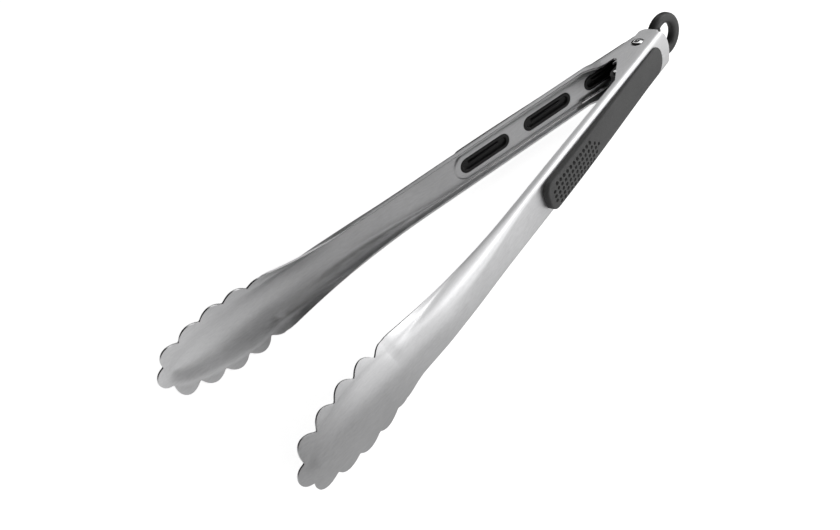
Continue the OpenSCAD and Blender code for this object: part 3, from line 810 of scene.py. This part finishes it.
def pull_ring():
    """Ring with rounded edges, level with the centre plane, and its two prongs: one moulding."""
    near, far = RING_HOLE_R + RING_EDGE_R, RING_HOLE_R + RING_T - RING_EDGE_R
    side = RING_T / 2 - RING_EDGE_R
    loop = []
    for x, y, start in ((near, side, 90), (near, -side, 180), (far, -side, 270), (far, side, 0)):
        loop += [(x + RING_EDGE_R * math.cos(a), y + RING_EDGE_R * math.sin(a))
                 for a in arc(start, start + 90, 8)]
    points, faces = lathe(loop, 96)
    c, s = math.cos(OPEN_ANGLE), math.sin(OPEN_ANGLE)
    points = [(x * c + z * s - RING_X, z * c - x * s + RING_LIFT, y) for x, y, z in points]
    ob = arm_object("pull_ring_body", points, faces, 1)
    cut(ob, [prong(PRONG_Z), prong(-PRONG_Z - PRONG_T)], "UNION")
    return ob


def lock_pin():
    """Pin with bevelled ends, standing where the frame has its node."""
    near_axis, half, bevel = 0.01, LOCK_PIN_HALF, 0.25
    loop = [(near_axis, -half), (LOCK_PIN_R - bevel, -half), (LOCK_PIN_R, bevel - half)]
    loop += [(r, -z) for r, z in loop[::-1]]
    ob = pivot_object("lock_pin_body", *lathe(loop, 40))
    lowest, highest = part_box("lock_pin")
    ob.matrix_world = Matrix.Translation((lowest + highest) / 2) @ Matrix.Rotation(OPEN_ANGLE, 4, "Z")
    return ob


# ---------------------------------------------------------------- shader helpers
def new_material(name):
    m = bpy.data.materials.new(name)
    m.use_nodes = True
    nt = m.node_tree
    nt.nodes.clear()
    bsdf = nt.nodes.new("ShaderNodeBsdfPrincipled")
    nt.links.new(bsdf.outputs[0], nt.nodes.new("ShaderNodeOutputMaterial").inputs[0])
    return m, nt, bsdf


def node(nt, kind, **values):
    """A new node. A value goes to the socket of that name, or else to the node's own setting."""
    n = nt.nodes.new(kind)
    for key, value in values.items():
        if key in n.inputs:
            n.inputs[key].default_value = value
        else:
            setattr(n, key, value)
    return n


def ramp(nt, value, lo, hi, a, b, smooth=False):
    """From a to b while the value goes from lo to hi, and level before and after."""
    m = node(nt, "ShaderNodeMapRange")
    for name, number in (("From Min", lo), ("From Max", hi), ("To Min", a), ("To Max", b)):
        m.inputs[name].default_value = number
    if smooth:
        m.interpolation_type = "SMOOTHSTEP"
    nt.links.new(value, m.inputs["Value"])
    return m.outputs["Result"]


def around(nt, texture, middle, spread):
    """A noise's usual range, 0.3 to 0.7, laid evenly about a middle."""
    return ramp(nt, texture, 0.3, 0.7, middle - spread, middle + spread)


def combine(nt, operation, *values):
    """Chains a maths node over sockets and plain numbers."""
    out = values[0]
    for value in values[1:]:
        m = node(nt, "ShaderNodeMath", operation=operation)
        for socket, given in zip(m.inputs, (out, value)):
            if isinstance(given, float):
                socket.default_value = given
            else:
                nt.links.new(given, socket)
        out = m.outputs[0]
    return out


def product(nt, *values):
    return combine(nt, "MULTIPLY", *values)


def total(nt, *values):
    return combine(nt, "ADD", *values)


def grey(nt, value, tint=(1.0, 1.0, 1.0)):
    c = node(nt, "ShaderNodeCombineColor")
    for channel, share in zip(("Red", "Green", "Blue"), tint):
        nt.links.new(product(nt, value, share), c.inputs[channel])
    return c.outputs[0]


def noise(nt, scale, detail, rough, stretch=None, turn=(0.0, 0.0, 0.0)):
    """Noise in a piece's own space, which can be turned and stretched first."""
    where = node(nt, "ShaderNodeTexCoord").outputs["Object"]
    if stretch:
        mapping = node(nt, "ShaderNodeMapping", Scale=stretch, Rotation=turn)
        nt.links.new(where, mapping.inputs["Vector"])
        where = mapping.outputs[0]
    texture = node(nt, "ShaderNodeTexNoise", Scale=scale, Detail=detail, Roughness=rough)
    nt.links.new(where, texture.inputs["Vector"])
    return texture.outputs["Fac"]


def bump(nt, bsdf, height, strength, depth):
    b = node(nt, "ShaderNodeBump", Strength=strength, Distance=depth * MM)
    nt.links.new(height, b.inputs["Height"])
    nt.links.new(b.outputs[0], bsdf.inputs["Normal"])


# ---------------------------------------------------------------- materials
def brushed(name, base, rough):
    """Steel with a satin grain along the arm, soft blotches and a few fine scratches."""
    m, nt, b = new_material(name)
    grain = noise(nt, 1.0, 6.0, 0.7, stretch=(260.0, 1300.0, 1300.0))
    soft = noise(nt, 38.0, 3.0, 0.5)
    scratch = noise(nt, 1.0, 8.0, 0.8, stretch=(60.0, 420.0, 420.0), turn=(0.0, 0.12, 0.2))
    tone = total(nt, around(nt, grain, base, 0.06), around(nt, soft, 0.0, 0.03))
    nt.links.new(grey(nt, tone, (1.0, 1.0, 1.01)), b.inputs["Base Color"])
    worn = total(nt, around(nt, grain, rough, 0.05), ramp(nt, scratch, 0.62, 0.75, 0.0, 0.08))
    nt.links.new(worn, b.inputs["Roughness"])
    b.inputs["Metallic"].default_value = 1.0
    bump(nt, b, grain, 0.12, 0.04)
    return m


def moulded(name, base, rough, speck=0.012, gloss=0.5):
    """Plastic or rubber with a fine moulded texture and slight rubbed patches."""
    m, nt, b = new_material(name)
    fine = noise(nt, 2600.0, 3.0, 0.6)
    soft = noise(nt, 70.0, 4.0, 0.55)
    tone = total(nt, around(nt, fine, base, speck), around(nt, soft, 0.0, speck * 0.6))
    nt.links.new(grey(nt, tone), b.inputs["Base Color"])
    nt.links.new(around(nt, soft, rough, 0.05), b.inputs["Roughness"])
    b.inputs["Specular IOR Level"].default_value = gloss
    bump(nt, b, fine, 0.25, 0.05)
    return m


def polished(name, base, rough):
    """Bright drawn or turned steel with faint draw marks."""
    m, nt, b = new_material(name)
    fine = noise(nt, 900.0, 4.0, 0.6)
    nt.links.new(grey(nt, around(nt, fine, base, 0.05)), b.inputs["Base Color"])
    nt.links.new(around(nt, fine, rough, 0.05), b.inputs["Roughness"])
    b.inputs["Metallic"].default_value = 1.0
    bump(nt, b, fine, 0.08, 0.03)
    return m


STEEL = brushed("brushed_steel", 0.62, 0.42)
RUBBER = moulded("grip_rubber", 0.06, 0.65, gloss=0.25)
CORE = moulded("core_plastic", 0.006, 0.3, speck=0.002, gloss=0.3)
RING = moulded("ring_plastic", 0.027, 0.45, gloss=0.4)
BUSH = moulded("bush_plastic", 0.55, 0.45, speck=0.03)
WIRE = polished("spring_wire", 0.8, 0.26)
RIVET = polished("rivet_steel", 0.72, 0.17)

# ---------------------------------------------------------------- the object
OUTER, INNER, LOCK = "outer_arm", "inner_arm", "lock"

sheet = arm("outer_arm_sheet", 1, **OUTER_EARS)
finish_object(sheet, STEEL, OUTER, "outer_arm", 32)
sheet = arm("inner_arm_sheet", -1, **INNER_EARS)
finish_object(sheet, STEEL, INNER, "inner_arm", 32)
for body, side, tag in ((OUTER, 1, "outer"), (INNER, -1, "inner")):
    cover = grip_cover(tag + "_grip_soft", side)
    finish_object(cover, RUBBER, body, tag + "_grip_cover", 50)
    core = grip_core(tag + "_grip_hard", side)
    finish_object(core, CORE, body, tag + "_grip_core")
finish_object(rivet(), RIVET, OUTER, "pivot_rivet")
finish_object(bush(), BUSH, OUTER, "spring_bush")
wire = spring()
finish_object(wire, WIRE, None, "torsion_spring")
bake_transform(wire)
finish_object(pull_ring(), RING, LOCK, "lock_slider", 35, edge=0.25)
finish_object(lock_pin(), RIVET, LOCK, "lock_pin")

# ---------------------------------------------------------------- studio, in metres
FLOOR_HALF = 3.0
FLOOR_GLOW = 0.78                    # makes the floor white to the camera
# Painted reflection: light that the steel sees in the floor, which glows to reflections alone and is lit by
# no lamp.
# Some everywhere, which is the painted shade between the arms, and extras of painted light inwards of the
# outer arm at the tips' end, outwards of it at the handles' end, and further out there. An extra's light
# comes up between two places along the outer arm and two across it, from the first to the second.
PAINTED_REFLECTION_LEVEL = 0.51
PAINTED_REFLECTION_PATCHES = (
    (0.5, (0.18, 0.30), (-0.005, -0.035)),
    (0.3, (0.26, 0.14), (-0.01, 0.02)),
    (1.0, (0.20, 0.10), (0.02, 0.07)),
)
# Light of the room on matt surfaces, from the handles' end to the tips' end
FILL_REAR, FILL_TIPS = 0.33, 0.1
# Light of the room in the steel: a lit part, which ramps along three ways shape, and a dim rest.
# A ramp has its way, the share of a direction along it where it starts and ends, and its two levels.
ROOM_DIM, ROOM_LIT = 0.01, 1.45
ROOM_RAMPS = (
    ((-1.0, 0.0, 0.0), (0.30, 0.48), (0.0, 1.0)),
    ((0.0, 0.5, 1.0), (0.0, 0.22), (0.0, 1.0)),
    ((-1.0, -0.6, -0.4), (0.69, 0.80), (1.0, 0.1)),
)


def pick(nt, ray, other, chosen):
    """The chosen shader for one kind of ray, and the other for all the rest."""
    m = node(nt, "ShaderNodeMixShader")
    nt.links.new(node(nt, "ShaderNodeLightPath").outputs[ray], m.inputs[0])
    nt.links.new(other, m.inputs[1])
    nt.links.new(chosen, m.inputs[2])
    return m.outputs[0]


# Painted reflection: the floor's glow for the steel, dim between the arms as painted shade and brighter
# where a lit table would be.
def painted_floor_reflection(nt):
    turn = node(nt, "ShaderNodeMapping", Rotation=(0.0, 0.0, -OPEN_ANGLE))
    nt.links.new(node(nt, "ShaderNodeTexCoord").outputs["Object"], turn.inputs["Vector"])
    axes = node(nt, "ShaderNodeSeparateXYZ")
    nt.links.new(turn.outputs[0], axes.inputs[0])
    lights = []
    for light, along, across in PAINTED_REFLECTION_PATCHES:
        lights.append(product(nt, ramp(nt, axes.outputs["X"], *along, 0.0, light, smooth=True),
                              ramp(nt, axes.outputs["Y"], *across, 0.0, 1.0, smooth=True)))
    return total(nt, *lights, PAINTED_REFLECTION_LEVEL)


def floor_material():
    """White to the camera, with a faint shadow, and to the steel a painted reflection: a glow graded like a
    lit table, with painted shade between the arms.
    """
    m, nt, b = new_material("studio_floor")
    b.inputs["Base Color"].default_value = (0.8, 0.8, 0.8, 1)
    b.inputs["Roughness"].default_value = 0.9
    b.inputs["Specular IOR Level"].default_value = 0.0
    glow, painted_glow, both = [node(nt, "ShaderNode" + kind) for kind in ("Emission", "Emission", "AddShader")]
    seen = node(nt, "ShaderNodeLightPath").outputs["Is Camera Ray"]
    nt.links.new(product(nt, seen, FLOOR_GLOW), glow.inputs["Strength"])
    nt.links.new(b.outputs[0], both.inputs[0])
    nt.links.new(glow.outputs[0], both.inputs[1])
    # The steel sees this painted reflection in place of the lit floor.
    nt.links.new(painted_floor_reflection(nt), painted_glow.inputs["Strength"])
    shown = pick(nt, "Is Glossy Ray", both.outputs[0], painted_glow.outputs[0])
    nt.links.new(shown, nt.nodes["Material Output"].inputs[0])
    return m


def floor():
    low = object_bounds()[0][2]
    corners = [(x * FLOOR_HALF, y * FLOOR_HALF, low) for x, y in ((-1, -1), (1, -1), (1, 1), (-1, 1))]
    me = bpy.data.meshes.new("studio_floor")
    me.from_pydata(corners, [], [(0, 1, 2, 3)])
    me.materials.append(floor_material())
    ob = bpy.data.objects.new("studio_floor", me)
    bpy.context.collection.objects.link(ob)


def room():
    """White to the camera, a soft fill on matt surfaces, and a broad lit part in the steel."""
    world = bpy.data.worlds.new("studio")
    bpy.context.scene.world = world
    world.use_nodes = True
    nt = world.node_tree
    nt.nodes.clear()
    fill, white, lit = [node(nt, "ShaderNodeBackground", Color=(1, 1, 1, 1)) for _ in range(3)]
    white.inputs["Strength"].default_value = 1.0
    sky = node(nt, "ShaderNodeTexCoord").outputs["Generated"]
    axes = node(nt, "ShaderNodeSeparateXYZ")
    nt.links.new(sky, axes.inputs[0])
    soft = ramp(nt, axes.outputs["X"], -0.2, 0.7, FILL_REAR, FILL_TIPS, smooth=True)
    nt.links.new(soft, fill.inputs["Strength"])
    levels = []
    for way, ends, between in ROOM_RAMPS:
        toward = node(nt, "ShaderNodeVectorMath", operation="DOT_PRODUCT")
        toward.inputs[1].default_value = way
        nt.links.new(sky, toward.inputs[0])
        levels.append(ramp(nt, toward.outputs["Value"], *ends, *between, smooth=True))
    nt.links.new(total(nt, product(nt, *levels, ROOM_LIT), ROOM_DIM), lit.inputs["Strength"])
    seen = pick(nt, "Is Glossy Ray", fill.outputs[0], lit.outputs[0])
    seen = pick(nt, "Is Camera Ray", seen, white.outputs[0])
    nt.links.new(seen, node(nt, "ShaderNodeOutputWorld").inputs[0])


def aimed(name, data, at, aim, roll=0.0):
    """Adds a lamp or a camera that looks from one place at another; roll is in degrees."""
    ob = bpy.data.objects.new(name, data)
    bpy.context.collection.objects.link(ob)
    look = (Vector(aim) - Vector(at)).to_track_quat("-Z", "Y").to_matrix().to_4x4()
    ob.matrix_world = Matrix.Translation(at) @ look @ Matrix.Rotation(math.radians(roll), 4, "Z")
    return ob


def lamp(name, at, aim, size, radiance, in_steel):
    """A rectangular lamp of a given radiance, which reflections see or not."""
    light = bpy.data.lights.new(name, "AREA")
    light.shape = "RECTANGLE"
    light.size, light.size_y = size
    light.energy = radiance * math.pi * size[0] * size[1]
    aimed(name, light, at, aim).visible_glossy = in_steel


def camera(at, aim, roll, lens):
    """The camera, at the photo's place. The lens is in mm, for a 36 mm wide sensor."""
    cam = bpy.data.cameras.new("photo")
    cam.sensor_width = 36.0
    cam.lens = lens
    cam.clip_start = 0.01
    bpy.context.scene.camera = aimed("photo", cam, at, aim, roll)


floor()
room()
lamp("key", (0.05, 0.95, 0.30), (0.13, 0, 0), (0.9, 0.5), 5.5, False)
lamp("softbox", (-0.42, 0.30, 0.34), (0.1, 0.02, 0), (0.5, 0.4), 1.7, True)
camera((0.3837, 0.3676, 0.3218), (0.17, 0.0049, 0.0), -22.17, 50.566)
bpy.context.scene.view_settings.view_transform = "Standard"
